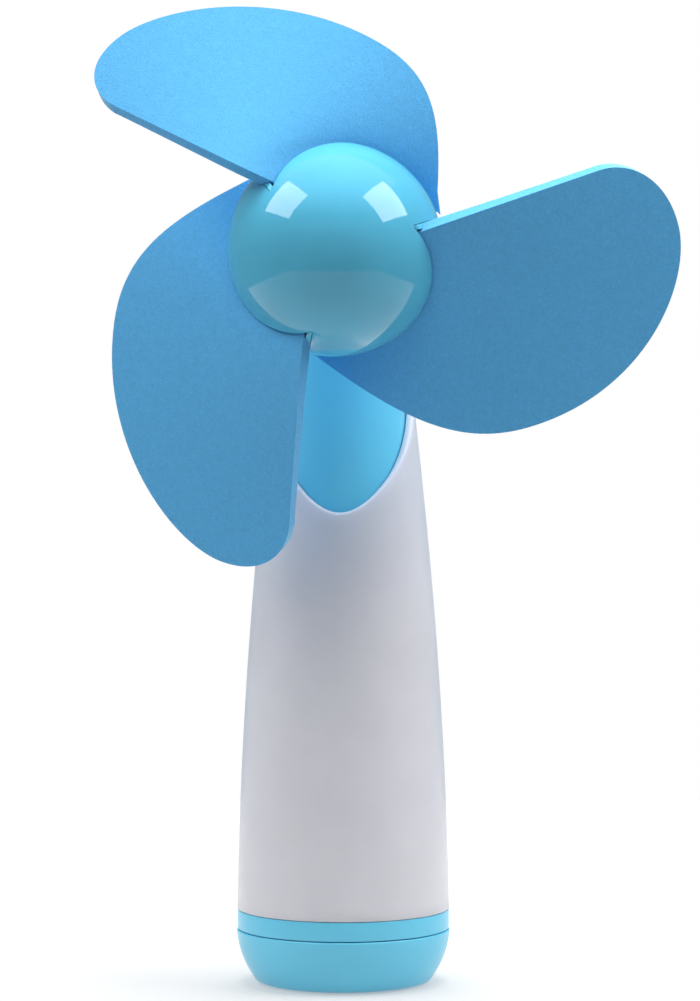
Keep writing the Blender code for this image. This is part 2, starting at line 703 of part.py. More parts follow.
def blade_edge(flex, per_curve):
    """The outline from the end of the straight edge, round the tip and back to the hub."""
    points = []
    for control, count in zip((TIP_CURVE, OUTER_CURVE, BACK_CURVE), per_curve):
        points += [flexed(bezier(control, step / count), flex) for step in range(count)]
    return points + [Vector(BACK_CURVE[-1])]


def make_blade(number, notch, flex, axis):
    """A foam sheet gripped by the hub's spiral slot, from its root to its outline."""
    outline = blade_edge(flex, (5, 7, 5))
    inner_rows, outer_rows = 4, 5
    columns = []
    for index, end in enumerate(outline):
        share = index / (len(outline) - 1)
        turn = math.radians(ROOT_SPAN[0] + (ROOT_SPAN[1] - ROOT_SPAN[0]) * share)
        root = Vector((math.cos(turn), -math.sin(turn))) * ROOT_R
        exit_point = Vector((math.cos(turn), -math.sin(turn))) * HUB_R
        if index == 0:
            exit_point = Vector(LEADING_EXIT)
        through = [root + (exit_point - root) * row / inner_rows for row in range(inner_rows)]
        through += [exit_point + (end - exit_point) * row / outer_rows for row in range(outer_rows + 1)]
        column = []
        for point in through:
            around = math.degrees(math.atan2(-point.y, point.x))
            middle = rim_height(around) - SLOT_GAP / 2 - lean_back(point.length, flex["lean"])
            column.append((point.length, middle, around))
        over = [spot(radius, height + FOAM / 2, around, notch) for radius, height, around in column]
        under = [spot(radius, height - FOAM / 2, around, notch) for radius, height, around in column]
        loop = over + list(reversed(under))
        columns.append(loop)
    finish(f"blade_{number}", woven(columns, wrap=False), "foam_blue", axis)


def make_rotor(axis):
    """What turns with the shaft: shaft, core, windings and commutator."""
    finish("motor_shaft", rod(SHAFT_R, -43.3, 7.0, 12), "steel", axis)
    outline = []
    for pole in range(3):
        middle = math.radians(90.0 + SECTOR * pole)
        stem = math.asin(1.3 / 2.9)
        neck = math.asin(1.3 / 5.6)
        points = [(2.9, -stem), (5.6, -neck), (5.8, -0.50), (5.9, -0.80)]
        points += [(6.4, -0.86 + 0.43 * step) for step in range(5)]
        points += [(5.9, 0.80), (5.8, 0.50), (5.6, neck), (2.9, stem)]
        outline += [(r * math.cos(middle + a), r * math.sin(middle + a)) for r, a in points]
    core = finish("rotor_core", extruded(outline, -35.0, -23.0), "steel", axis)
    cut(core, finish("core_bore", rod(BORE_R, -40.0, -20.0, 12), "steel", axis))
    for pole in range(3):
        middle = 90.0 + SECTOR * pole
        coil = finish(f"winding_{pole + 1}", winding(), "copper", axis)
        coil.rotation_euler = (0.0, 0.0, math.radians(middle))
    finish("commutator", tube(BORE_R, 2.3, -38.8, -36.3, 12), "copper", axis)


def winding():
    """Copper wound round one pole's stem, drawn for a stem along x."""
    columns = []
    for y, z in ((-1.6, -35.3), (1.6, -35.3), (1.6, -22.7), (-1.6, -22.7)):
        out_y = y + math.copysign(0.9, y)
        out_z = z + math.copysign(0.9, z + 29.0)
        columns.append([(3.3, y, z), (4.6, y, z), (4.6, out_y, out_z), (3.3, out_y, out_z)])
    return woven(columns)


# Switch and wiring


def make_switch():
    """The slide switch's body with its channel, its terminals and the sliding knob on the back."""
    span = (SWITCH_Z - SWITCH_HALF, SWITCH_Z + SWITCH_HALF)
    body = finish("switch_body", box((-SWITCH_HALF, SWITCH_HALF), SWITCH_Y, span), "switch_black")
    ears = box((-2.2, 2.2), (SWITCH_Y[0] + 0.01, EAR_FRONT), (63.2, 79.3))
    cut(body, finish("switch_ears", ears, "switch_black"), "UNION")
    channel = box((-1.9, 1.9), (13.0, 17.0), (SWITCH_Z - 3.5, SWITCH_Z + 3.5))
    cut(body, finish("switch_channel", channel, "switch_black"))
    for index, height in enumerate(SWITCH_SCREWS):
        hole = moved(facing(rod(0.9, 10.0, 14.0, 8)), (0.0, 0.0, height))
        cut(body, finish(f"ear_hole_{index + 1}", hole, "switch_black"))
    for index, height in enumerate((69.2, 72.8)):
        blade = box((-0.6, 0.6), (8.4, 11.0), (height - 0.2, height + 0.2))
        finish(f"switch_terminal_{index + 1}", blade, "brass")
    pivot = axis_empty("switch_axis", (0.0, KNOB_Y, SWITCH_Z - SWITCH_TRAVEL / 2))
    wide, tall = KNOB_HALF
    knob = finish("switch_knob", box((-wide, wide), (0.9, 3.9), (-tall, tall)), "cyan_satin", pivot)
    cut(knob, finish("knob_stem", box((-1.5, 1.5), (-2.4, 1.2), (-1.0, 1.0)), "cyan_satin", pivot), "UNION")
    for index in range(3):
        rib = box((-2.4, 2.4), (3.6, 4.3), (-1.75 + 1.4 * index, -1.05 + 1.4 * index))
        cut(knob, finish(f"knob_rib_{index + 1}", rib, "cyan_satin", pivot), "UNION")


def make_wires():
    """Red from the positive contact through the switch to the motor, black straight from the negative."""
    lead("wire_supply", ((-7.5, 0.0, 59.95), (-7.5, 0.0, 64.0), (-5.0, 3.0, 67.5), (-1.6, 7.0, 69.4),
                         (0.0, 7.4, 69.2)), WIRE_R, "wire_red")
    lead("wire_switched", ((0.0, 7.4, 72.8), (-3.0, 5.0, 76.0), (-5.6, 1.0, 86.0), (-5.6, 1.0, 110.0),
                           (-5.4, 4.0, 130.0), (-5.3, 6.6, 141.0), (-5.3, 6.6, 147.0)), WIRE_R, "wire_red")
    lead("wire_return", ((7.5, 0.0, 59.95), (7.5, 0.0, 66.0), (6.0, 0.5, 82.0), (5.6, 1.0, 110.0),
                         (5.4, 4.0, 130.0), (5.3, 6.6, 141.0), (5.3, 6.6, 147.0)), WIRE_R, "wire_black")


def main():
    for old in list(bpy.data.objects):
        bpy.data.objects.remove(old, do_unlink=True)
    make_sleeve()
    make_base_ring()
    make_cap()
    make_battery_holder()
    make_cells()
    make_housing()
    make_screws()
    motor_axis = axis_empty("motor_axis", (0.0, HUB_Y, HUB_Z), 90.0)
    make_motor(motor_axis)
    rotor_axis = axis_empty("rotor_axis", (0.0, HUB_Y, HUB_Z), 90.0)
    make_rotor(rotor_axis)
    make_hub_rear(rotor_axis)
    make_dome(rotor_axis)
    for number, (notch, flex) in enumerate(zip(NOTCHES, FLEX), 1):
        make_blade(number, notch, flex, rotor_axis)
    make_switch()
    make_wires()


main()
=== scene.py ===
"""Looks of the handheld fan: fine shells, soft foam blades and the finish of every piece.

Lengths are in millimetres until they become vertices. The frame gives the places: the hub's middle
comes from the rotor's joint, and heights come from the CAD nodes' boxes. Hub pieces are drawn in the
hub's own frame: z runs forward along the motor axis, x to the right and y up.
"""

import json
import math

import bmesh
import bpy
from mathutils import Matrix, Vector


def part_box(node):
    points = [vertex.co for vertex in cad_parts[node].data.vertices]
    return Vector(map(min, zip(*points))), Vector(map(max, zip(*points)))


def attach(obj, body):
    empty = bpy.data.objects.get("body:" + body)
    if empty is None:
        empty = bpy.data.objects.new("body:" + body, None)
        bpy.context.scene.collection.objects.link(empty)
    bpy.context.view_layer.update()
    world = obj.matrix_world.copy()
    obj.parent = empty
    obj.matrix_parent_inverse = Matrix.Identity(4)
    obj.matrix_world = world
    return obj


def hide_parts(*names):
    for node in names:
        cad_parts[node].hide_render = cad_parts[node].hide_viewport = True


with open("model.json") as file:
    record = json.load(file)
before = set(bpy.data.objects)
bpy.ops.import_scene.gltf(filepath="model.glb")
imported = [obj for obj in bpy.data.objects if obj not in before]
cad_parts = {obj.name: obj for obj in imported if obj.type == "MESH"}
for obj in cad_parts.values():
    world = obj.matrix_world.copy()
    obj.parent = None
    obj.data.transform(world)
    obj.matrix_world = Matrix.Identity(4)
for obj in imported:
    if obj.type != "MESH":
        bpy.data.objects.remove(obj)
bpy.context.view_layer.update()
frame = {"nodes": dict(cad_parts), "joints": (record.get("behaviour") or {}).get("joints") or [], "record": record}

MM = 0.001
GAP = 0.3
CREASE = math.radians(32.0)


def node_span(node, axis):
    """A CAD node's lowest and highest place along an axis, in millimetres."""
    low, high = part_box(node)
    return low[axis] / MM, high[axis] / MM


SPIN = next(joint for joint in frame["joints"] if joint["name"] == "rotor_spin")
HUB = Vector(SPIN["pos_m"]) / MM
TO_HUB = Matrix.Translation(HUB * MM) @ Matrix.Rotation(math.radians(90.0), 4, "X")

# Handle
CAP_TOP = node_span("battery_cap", 2)[1]
CAP_R = node_span("battery_cap", 0)[1]
CAP_FLARE = 0.034
CAP_WALL = 1.7
CAP_FLOOR = 1.8
CAP_CHAMFER = 0.45
FOOT_R = 16.5
FOOT_HOLLOW = 0.35
LUG_SPAN = (18.3, 20.0)
LUG_HEIGHTS = (7.4, 8.6)
LUG_HALF_ANGLE = 11.0
COIN_SLOT_HALF = (7.0, 1.1)
COIN_SLOT_DEPTH = 1.1
RING_BOTTOM = CAP_TOP + GAP
RING_R = node_span("base_ring", 0)[1]
SLEEVE_BOTTOM = node_span("handle_sleeve", 2)[0]
RING_TOP = SLEEVE_BOTTOM - GAP
RING_FOOT, SPIGOT_TOP = node_span("base_ring", 2)
RING_NECK_R = 18.0
RING_INSIDE_R = 16.4
SPIGOT_INSIDE_R = 17.7
SEAM_BELOW = 0.1
SEAM_ABOVE = 0.24
SLEEVE_R = node_span("handle_sleeve", 0)[1]
SLEEVE_TAPER = 0.02
SLEEVE_CURVE = 0.0005
SLEEVE_TOP_R = 13.7
SLEEVE_BLEND = 0.6
SLEEVE_WALL = 1.4
RIM_ROUND = 0.5
SLEEVE_FOOT_ROUND = 0.14
CUT_Z = 96.0
CUT_SLOPE = 0.5
CUT_BEND = 0.018
CUT_STRAIGHT = 7.0
SWITCH_Z = 71.0
WINDOW_HALF = (3.4, 4.9)
KNOB_PAD = (16.9, 19.9)
KNOB_HALF = (3.0, 2.5)
KNOB_STEM_FRONT = 13.6
RIB_HALF = (2.4, 0.4, 0.35)
RIB_STEP = 1.4

# Head
HOUSING_BOTTOM = node_span("housing_front", 2)[0]
HOUSING_WALL = 1.5
SNOUT_R = 11.7
SNOUT_FRONT = node_span("housing_front", 1)[0]
SCREW_HEIGHTS = (90.0, 127.0)
SCREW_POST_R = 2.6
SCREW_RECESS_R = 2.5
SCREW_MOUTH_R = 3.1
SCREW_SEAT = 3.2
PILOT_R = 1.3
NOSE_HOLE_R = 3.6
MOTOR_SEAT_R = 10.3

# Hub and blades
HUB_R = 20.8
DOME_WALL = 1.7
NOTCHES = (16.5, 136.5, 256.5)
SECTOR = 120.0
RIM_FRONT = 13.0
RIM_DROP = 24.4
SLOT_GAP = 3.1
HUB_BACK = -17.0
HUB_FLOOR = 1.6
RAMP_R = 8.0
RAMP_MIDDLE_R = 12.0
RAMP_WALL = 1.8
FOAM = 2.2
FOAM_ROUND = 0.38
GRIPPED_ROWS = 10
FREE_ROWS = 26
OUTLINE_STEPS = (28, 40, 30)
SLANTED_COLUMNS = 14.0
ROOT_R = 9.5
ROOT_SPAN = (14.0, 116.5)
LEAN_START = 6.0
LEADING_EXIT = (17.4, -1.52)
TIP_CURVE = ((53.0, 0.0), (59.5, 0.3), (65.5, -5.5), (64.6, -15.5))
OUTER_CURVE = ((64.6, -15.5), (63.2, -27.0), (49.0, -43.8), (26.0, -43.8))
BACK_CURVE = ((26.0, -43.8), (12.0, -43.8), (3.0, -35.5), (-10.2, -18.6))
FLEX = (
    {"squeeze": 1.0, "stretch": 1.0, "along": -50.0, "swing": 0.0, "shift": (0.0, 0.0), "lean": 0.20,
     "slant": 0.30},
    {"squeeze": 0.716, "stretch": 1.033, "along": -47.5, "swing": 3.5, "shift": (3.3, -2.1), "lean": 0.50,
     "slant": 0.42},
    {"squeeze": 0.839, "stretch": 1.036, "along": -56.0, "swing": 1.3, "shift": (2.4, -2.1), "lean": 0.40,
     "slant": 0.22},
)


# Camera, floor and lights


def make_camera():
    """About level with the hub, a metre away and a little to the right."""
    distance, height, azimuth, roll = 1.0, 0.1583, math.radians(2.15), math.radians(-0.05)
    across = Vector((math.cos(azimuth), math.sin(azimuth), 0.0))
    place = Vector((distance * math.sin(azimuth), -distance * math.cos(azimuth), height))
    aim = across * 0.00144 + Vector((0.0, 0.0, 0.09744))
    camera = bpy.data.objects.new("camera", bpy.data.cameras.new("camera"))
    bpy.context.scene.collection.objects.link(camera)
    camera.data.sensor_fit = "AUTO"
    camera.data.sensor_width = 36.0
    camera.data.lens = 178.7
    camera.location = place
    camera.rotation_mode = "QUATERNION"
    turn = (aim - place).to_track_quat("-Z", "Y")
    camera.rotation_quaternion = turn @ Matrix.Rotation(roll, 3, "Z").to_quaternion()
    bpy.context.scene.camera = camera


def softbox(name, place, aim, size, power):
    """A rectangular white soft light at a place, facing a point, in metres."""
    lamp = bpy.data.lights.new(name, "AREA")
    lamp.shape = "RECTANGLE"
    lamp.size, lamp.size_y = size
    lamp.energy = power
    made = bpy.data.objects.new(name, lamp)
    bpy.context.scene.collection.objects.link(made)
    made.location = place
    made.rotation_mode = "QUATERNION"
    made.rotation_quaternion = (Vector(aim) - Vector(place)).to_track_quat("-Z", "Y")
    return made


def stage_mesh(name, rows, look):
    """A stage surface woven from rows of points in metres."""
    form = bmesh.new()
    made_rows = [[form.verts.new(point) for point in row] for row in rows]
    for here, there in zip(made_rows, made_rows[1:]):
        for left, right, far_right, far_left in zip(here, here[1:], there[1:], there):
            form.faces.new((left, right, far_right, far_left))
    mesh = bpy.data.meshes.new(name)
    form.to_mesh(mesh)
    form.free()
    mesh.materials.append(look)
    made = bpy.data.objects.new(name, mesh)
    bpy.context.scene.collection.objects.link(made)
    return made


def make_stage():
    """A pale table under the fan, a white wall behind and a wide diffuser that fades towards the front.

    The wall and the diffuser only give light: the camera looks through them, so they never stand in its way.
    """
    half, bow, back, drop = 0.33, 0.10, 0.30, -0.0002
    sides = [step / 12 for step in range(-12, 13)]
    front_row = [(half * side, -0.40 + bow * side * side, drop) for side in sides]
    back_row = [(half * side, back, drop) for side in sides]
    stage_mesh("floor", (front_row, back_row), glowing("floor", 0.38, (-0.22, 0.1), (0.0, 0.5)))
    wall = [[(side, 1.3, height) for side in (-0.9, 0.9)] for height in (-0.4, 1.5)]
    behind = stage_mesh("wall", wall, glowing("wall", 0.8, (0.0, 1.0), (0.0, 1.0)))
    behind.visible_glossy = False
    behind.visible_camera = False
    canopy = [[(side, y, 1.55) for side in (1.3, -1.3)] for y in (-2.4, 0.8)]
    above = stage_mesh("diffuser", canopy, glowing("diffuser", 0.0, (-2.0, 0.1), (0.0, 0.75)))
    above.visible_camera = False


def glowing(name, shade, places, strengths):
    """A pale stage surface whose own light grows along y, from one strength to another."""
    look = bpy.data.materials.new(name)
    look.use_nodes = True
    shader = look.node_tree.nodes["Principled BSDF"]
    shader.inputs["Base Color"].default_value = (shade, shade, shade, 1.0)
    shader.inputs["Roughness"].default_value = 0.7
    shader.inputs["Emission Color"].default_value = (1.0, 1.0, 1.0, 1.0)
    place = look.node_tree.nodes.new("ShaderNodeTexCoord")
    split = look.node_tree.nodes.new("ShaderNodeSeparateXYZ")
    glow = look.node_tree.nodes.new("ShaderNodeMapRange")
    glow.interpolation_type = "SMOOTHSTEP"
    for key, value in zip(("From Min", "From Max", "To Min", "To Max"), (*places, *strengths)):
        glow.inputs[key].default_value = value
    look.node_tree.links.new(place.outputs["Object"], split.inputs["Vector"])
    look.node_tree.links.new(split.outputs["Y"], glow.inputs["Value"])
    look.node_tree.links.new(glow.outputs["Result"], shader.inputs["Emission Strength"])
    return look


def make_surround():
    """A surround that is dim as a light, soft cyan in reflections and white to the camera."""
    world = bpy.data.worlds.new("surround")
    world.use_nodes = True
    bpy.context.scene.world = world
    tree = world.node_tree
    kind = tree.nodes.new("ShaderNodeLightPath")

    def plain(colour, strength):
        node = tree.nodes.new("ShaderNodeBackground")
        node.inputs["Color"].default_value = (*colour, 1.0)
        node.inputs["Strength"].default_value = strength
        return node.outputs["Background"]

    def either(ray, otherwise, chosen):
        node = tree.nodes.new("ShaderNodeMixShader")
        tree.links.new(kind.outputs[ray], node.inputs["Fac"])
        tree.links.new(otherwise, node.inputs[1])
        tree.links.new(chosen, node.inputs[2])
        return node.outputs["Shader"]

    lit = either("Is Glossy Ray", plain((0.86, 0.9, 1.0), 0.06), plain((0.4, 0.82, 1.0), 0.4))
    seen = either("Is Camera Ray", lit, plain((1.0, 1.0, 1.0), 1.0))
    tree.links.new(seen, tree.nodes["World Output"].inputs["Surface"])


def make_lights():
    """Two softboxes that show in the ball, and two lights that only brighten."""
    middle = (0.0, -0.03, 0.13)
    softbox("key_right", (0.74, -0.19, 0.82), middle, (0.66, 0.56), 7.0)
    softbox("key_left", (-0.70, -0.26, 0.86), middle, (0.62, 0.52), 5.4)
    for name, place, size, power in (
        ("overhead", (0.06, 0.02, 1.30), (0.8, 0.6), 16.0),
        ("front_fill", (-0.40, -1.3, 0.95), (0.9, 0.7), 3.6),
    ):
        softbox(name, place, middle, size, power).visible_glossy = False
    bpy.context.scene.view_settings.view_transform = "Standard"
    bpy.context.scene.view_settings.look = "None"


# Materials


class Look:
    """A Principled material with helpers for its procedural detail."""

    def __init__(self, name, colour, roughness, metallic=0.0, **constants):
        self.material = bpy.data.materials.new(name)
        self.material.use_nodes = True
        self.tree = self.material.node_tree
        self.shader = self.tree.nodes["Principled BSDF"]
        self.shader.inputs["Base Color"].default_value = (*colour, 1.0)
        self.shader.inputs["Roughness"].default_value = roughness
        self.shader.inputs["Metallic"].default_value = metallic
        for key, value in constants.items():
            self.shader.inputs[key.replace("_", " ")].default_value = value
        self.place = self.tree.nodes.new("ShaderNodeTexCoord").outputs["Object"]

    def link(self, output, target):
        self.tree.links.new(output, target)

    def noise(self, size_mm, detail=3.0, stretch=None, rough=0.55):
        """Noise whose features are about size_mm across; stretch scales the axes."""
        place = self.place
        if stretch:
            mapping = self.tree.nodes.new("ShaderNodeMapping")
            mapping.inputs["Scale"].default_value = stretch
            self.link(place, mapping.inputs["Vector"])
            place = mapping.outputs["Vector"]
        node = self.tree.nodes.new("ShaderNodeTexNoise")
        node.inputs["Scale"].default_value = 1.0 / (size_mm * MM)
        node.inputs["Detail"].default_value = detail
        node.inputs["Roughness"].default_value = rough
        self.link(place, node.inputs["Vector"])
        return node.outputs["Fac"]

    def cells(self, size_mm):
        """Distance to the middles of cells about size_mm across."""
        node = self.tree.nodes.new("ShaderNodeTexVoronoi")
        node.inputs["Scale"].default_value = 1.0 / (size_mm * MM)
        self.link(self.place, node.inputs["Vector"])
        return node.outputs["Distance"]

    def ranged(self, value, low, high, to_low=0.0, to_high=1.0):
        """A value taken from one range to another, smoothly and within its ends."""
        node = self.tree.nodes.new("ShaderNodeMapRange")
        node.interpolation_type = "SMOOTHSTEP"
        for name, number in zip(("From Min", "From Max", "To Min", "To Max"), (low, high, to_low, to_high)):
            node.inputs[name].default_value = number
        self.link(value, node.inputs["Value"])
        return node.outputs["Result"]

    def math(self, operation, first, second):
        """One sum on two values, each a number or a socket."""
        node = self.tree.nodes.new("ShaderNodeMath")
        node.operation = operation
        for socket, value in zip(node.inputs, (first, second)):
            if isinstance(value, (int, float)):
                socket.default_value = value
            else:
                self.link(value, socket)
        return node.outputs[0]

    def mixed(self, factor, first, second):
        """A colour between two, each a colour or a socket."""
        node = self.tree.nodes.new("ShaderNodeMix")
        node.data_type = "RGBA"
        self.link(factor, node.inputs["Factor"])
        for socket, value in zip((node.inputs[6], node.inputs[7]), (first, second)):
            if isinstance(value, tuple):
                socket.default_value = (*value[:3], 1.0)
            else:
                self.link(value, socket)
        return node.outputs[2]

    def axis(self, name):
        """The place along one axis, in metres."""
        node = self.tree.nodes.new("ShaderNodeSeparateXYZ")
        self.link(self.place, node.inputs["Vector"])
        return node.outputs[name]

    def attribute(self, name):
        """A value stored in the mesh."""
        node = self.tree.nodes.new("ShaderNodeAttribute")
        node.attribute_name = name
        return node.outputs["Fac"]

    def paint(self, value):
        self.link(value, self.shader.inputs["Base Color"])

    def shine(self, value):
        self.link(value, self.shader.inputs["Roughness"])

    def bump(self, *layers):
        """Bumps laid on each other, each a (height socket, depth in mm)."""
        last = None
        for height, depth in layers:
            node = self.tree.nodes.new("ShaderNodeBump")
            node.inputs["Distance"].default_value = depth * MM
            self.link(height, node.inputs["Height"])
            if last is not None:
                self.link(last, node.inputs["Normal"])
            last = node.outputs["Normal"]
        self.link(last, self.shader.inputs["Normal"])


def scaled(colour, share):
    """A colour made lighter or darker."""
    return tuple(channel * share for channel in colour)


def moulded(name, colour, roughness, grain_mm=0.5, grain_depth=0.004):
    """Moulded plastic: a faint cloudiness, fine grain, and rubbed patches that shine a little less."""
    look = Look(name, colour, roughness)
    cloud = look.noise(9.0, 3.0)
    look.paint(look.mixed(look.ranged(cloud, 0.3, 0.7), scaled(colour, 0.992), scaled(colour, 1.008)))
    rub = look.noise(1.4, 4.0, rough=0.6)
    look.shine(look.ranged(rub, 0.3, 0.75, roughness * 0.97, roughness * 1.04))
    look.bump((look.noise(grain_mm, 2.0), grain_depth), (look.noise(18.0, 0.5), 0.004))
    return look


def gloss_cyan():
    """Highly polished ABS: deep gloss with a slight waviness, sparse dust pits and hairline scratches."""
    colour = (0.09, 0.45, 0.66)
    look = Look("cyan_gloss", colour, 0.07, Coat_Weight=0.3, Coat_Roughness=0.03, IOR=1.46)
    cloud = look.noise(12.0, 2.0)
    look.paint(look.mixed(look.ranged(cloud, 0.3, 0.7), scaled(colour, 0.975), scaled(colour, 1.025)))
    hair = look.noise(0.35, 2.0, stretch=(1.0, 0.04, 0.3))
    look.shine(look.ranged(hair, 0.62, 0.8, 0.06, 0.2))
    look.bump((look.noise(6.0, 1.0), 0.010), (look.ranged(look.noise(0.6, 1.0), 0.78, 0.9), 0.006))
    return look


def satin_cyan():
    """Satin moulded ABS: smoother than the sleeve, with a very fine grain."""
    return moulded("cyan_satin", (0.138, 0.60, 0.83), 0.3, 0.8, 0.0015)


def foam_blue():
    """Closed-cell foam: matt, with a fine two-size speckle, tiny pits and paler cut edges."""
    colour = (0.105, 0.44, 0.80)
    look = Look("foam_blue", colour, 0.86, Sheen_Weight=0.25, Sheen_Roughness=0.45, IOR=1.35)
    fine = look.noise(0.42, 4.0, rough=0.75)
    coarse = look.noise(1.3, 3.0, rough=0.6)
    grain = look.mixed(look.ranged(fine, 0.36, 0.64), scaled(colour, 0.86), scaled(colour, 1.15))
    patch = look.mixed(look.ranged(coarse, 0.35, 0.65), scaled(colour, 0.95), scaled(colour, 1.05))
    both = look.mixed(look.ranged(look.noise(0.8, 1.0), 0.4, 0.6, 0.35, 0.65), grain, patch)
    edge = look.ranged(look.attribute("cut_edge"), 0.2, 0.9)
    pale = look.mixed(look.ranged(fine, 0.4, 0.6), (0.17, 0.53, 0.84), (0.22, 0.60, 0.90))
    look.paint(look.mixed(edge, both, pale))
    pits = look.cells(0.34)
    look.shine(look.ranged(fine, 0.3, 0.7, 0.8, 0.93))
    look.bump((fine, 0.05), (look.ranged(pits, 0.0, 0.45), 0.035), (look.noise(4.0, 2.0), 0.06))
    return look


def white_sleeve():
    """Satin polypropylene that lets a little light in, with a painted blue cast near its top that stands in for
    light from the blue neck close behind it.
    """
    white = (0.70, 0.685, 0.735)
    look = Look("sleeve_white", white, 0.34, Subsurface_Weight=0.35, Subsurface_Scale=0.004,
                Subsurface_Radius=(1.0, 0.9, 0.8), Coat_Weight=0.12, Coat_Roughness=0.2)
    cloud = look.noise(14.0, 3.0)
    body = look.mixed(look.ranged(cloud, 0.3, 0.7), scaled(white, 0.975), scaled(white, 1.02))
    height = look.axis("Z")
    # Painted light: a faint blue cast over the sleeve's upper part, standing in for light from the blue neck just
    # behind it.
    behind = look.ranged(height, 0.070, 0.094, 0.0, 0.1)
    look.paint(look.mixed(behind, body, (0.50, 0.62, 0.80)))
    rub = look.noise(2.5, 5.0, rough=0.65)
    look.shine(look.ranged(rub, 0.35, 0.72, 0.3, 0.44))
    streaks = look.noise(3.0, 3.0, stretch=(1.0, 1.0, 0.07))
    look.bump((look.noise(0.4, 2.0), 0.003), (streaks, 0.012))
    return look


def metal(name, colour, roughness, stretch):
    """Drawn or plated metal, with grain along its length and faint tarnish."""
    look = Look(name, colour, roughness, 1.0)
    grain = look.noise(0.5, 4.0, stretch=stretch)
    tarnish = look.noise(2.2, 4.0)
    look.paint(look.mixed(look.ranged(tarnish, 0.35, 0.7), colour, scaled(colour, 0.78)))
    look.shine(look.ranged(grain, 0.3, 0.7, roughness * 0.75, roughness * 1.4))
    look.bump((grain, 0.006))
    return look


def cell_jacket():
    """A plain dark film jacket with one coloured band and bare metal at both ends."""
    look = Look("cell_jacket", (0.03, 0.035, 0.04), 0.3, Coat_Weight=0.4, Coat_Roughness=0.1)
    height = look.axis("Z")
    low, high = (value * MM for value in node_span("battery_1", 2))
    band = look.ranged(height, low + 0.033, low + 0.0332)
    ends = look.math("MAXIMUM", look.ranged(height, low + 0.0012, low + 0.001),
                     look.ranged(height, high - 0.0032, high - 0.003))
    cloud = look.ranged(look.noise(5.0, 3.0), 0.3, 0.7)
    dark = look.mixed(cloud, (0.028, 0.032, 0.037), (0.036, 0.041, 0.048))
    film = look.mixed(band, dark, (0.55, 0.3, 0.08))
    look.paint(look.mixed(ends, film, (0.62, 0.62, 0.64)))
    look.link(ends, look.shader.inputs["Metallic"])
    look.bump((look.noise(1.5, 3.0), 0.01))
    return look


def make_looks():
    steel_grain = (1.0, 1.0, 0.08)
    return {
        "cyan_gloss": gloss_cyan(),
        "cyan_satin": satin_cyan(),
        "foam_blue": foam_blue(),
        "sleeve_white": white_sleeve(),
        "inner_white": moulded("inner_white", (0.62, 0.62, 0.58), 0.45),
        "switch_black": moulded("switch_black", (0.02, 0.02, 0.022), 0.4),
        "steel": metal("steel", (0.56, 0.57, 0.59), 0.26, steel_grain),
        "brass": metal("brass", (0.72, 0.49, 0.19), 0.28, steel_grain),
        "copper": metal("copper", (0.66, 0.27, 0.12), 0.3, (1.0, 1.0, 12.0)),
        "magnet": moulded("magnet", (0.035, 0.035, 0.04), 0.6, 0.3, 0.02),
        "cell_jacket": cell_jacket(),
        "wire_red": moulded("wire_red", (0.45, 0.02, 0.016), 0.38),
        "wire_black": moulded("wire_black", (0.015, 0.015, 0.016), 0.38),
    }


# Shapes


def finished(name, form, slot, body, *nodes, hub=False):
    """Turns a bmesh drawn in millimetres into a piece that rides on a body and stands for CAD nodes."""
    made = raw(name, form)
    if hub:
        made.data.transform(TO_HUB)
    made.data.materials.append(LOOKS[slot].material)
    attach(made, body)
    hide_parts(*nodes)
    return made


def raw(name, form):
    """A mesh object in metres from a bmesh in millimetres."""
    bmesh.ops.scale(form, vec=(MM, MM, MM), verts=form.verts)
    bmesh.ops.remove_doubles(form, verts=form.verts, dist=1e-7)
    bmesh.ops.recalc_face_normals(form, faces=form.faces)
    mesh = bpy.data.meshes.new(name)
    form.to_mesh(mesh)
    form.free()
    mesh.shade_smooth()
    mesh.set_sharp_from_angle(angle=CREASE)
    made = bpy.data.objects.new(name, mesh)
    bpy.context.scene.collection.objects.link(made)
    return made


def apply_steps(made):
    """Replaces a piece's mesh by what its modifiers make of it."""
    bpy.context.view_layer.update()
    evaluated = made.evaluated_get(bpy.context.evaluated_depsgraph_get())
    mesh = bpy.data.meshes.new_from_object(evaluated)
    made.modifiers.clear()
    made.data = mesh


def boolean(made, form, operation="DIFFERENCE"):
    """Applies one Boolean with a shape drawn in millimetres."""
    tool = raw("tool", form)
    step = made.modifiers.new("step", "BOOLEAN")
    step.operation = operation
    step.solver = "EXACT"
    step.object = tool
    apply_steps(made)
    bpy.data.objects.remove(tool)


def bevelled(made, width_mm, angle, segments):
    """Rounds a piece's sharp edges and shades it smooth."""
    step = made.modifiers.new("round", "BEVEL")
    step.width = width_mm * MM
    step.segments = segments
    step.limit_method = "ANGLE"
    step.angle_limit = math.radians(angle)
    step.use_clamp_overlap = True
    step.harden_normals = True
    apply_steps(made)


def turned(profile, segments, closed=True):
    """A profile of (radius, height) points turned about a vertical axis."""
    form = bmesh.new()
    rings = []
    for radius, height in profile:
        if radius < 1e-6:
            rings.append([form.verts.new((0.0, 0.0, height))])
            continue
        angles = [2 * math.pi * step / segments for step in range(segments)]
        rings.append([form.verts.new((radius * math.cos(angle), radius * math.sin(angle), height))
                      for angle in angles])
    if closed:
        rings.append(rings[0])
    for low, high in zip(rings, rings[1:]):
        for step in range(segments):
            after = (step + 1) % segments
            corners = [low[step % len(low)], low[after % len(low)]]
            corners += [high[after % len(high)], high[step % len(high)]]
            unique = [corner for index, corner in enumerate(corners) if corner not in corners[:index]]
            if len(unique) > 2:
                form.faces.new(unique)
    return form


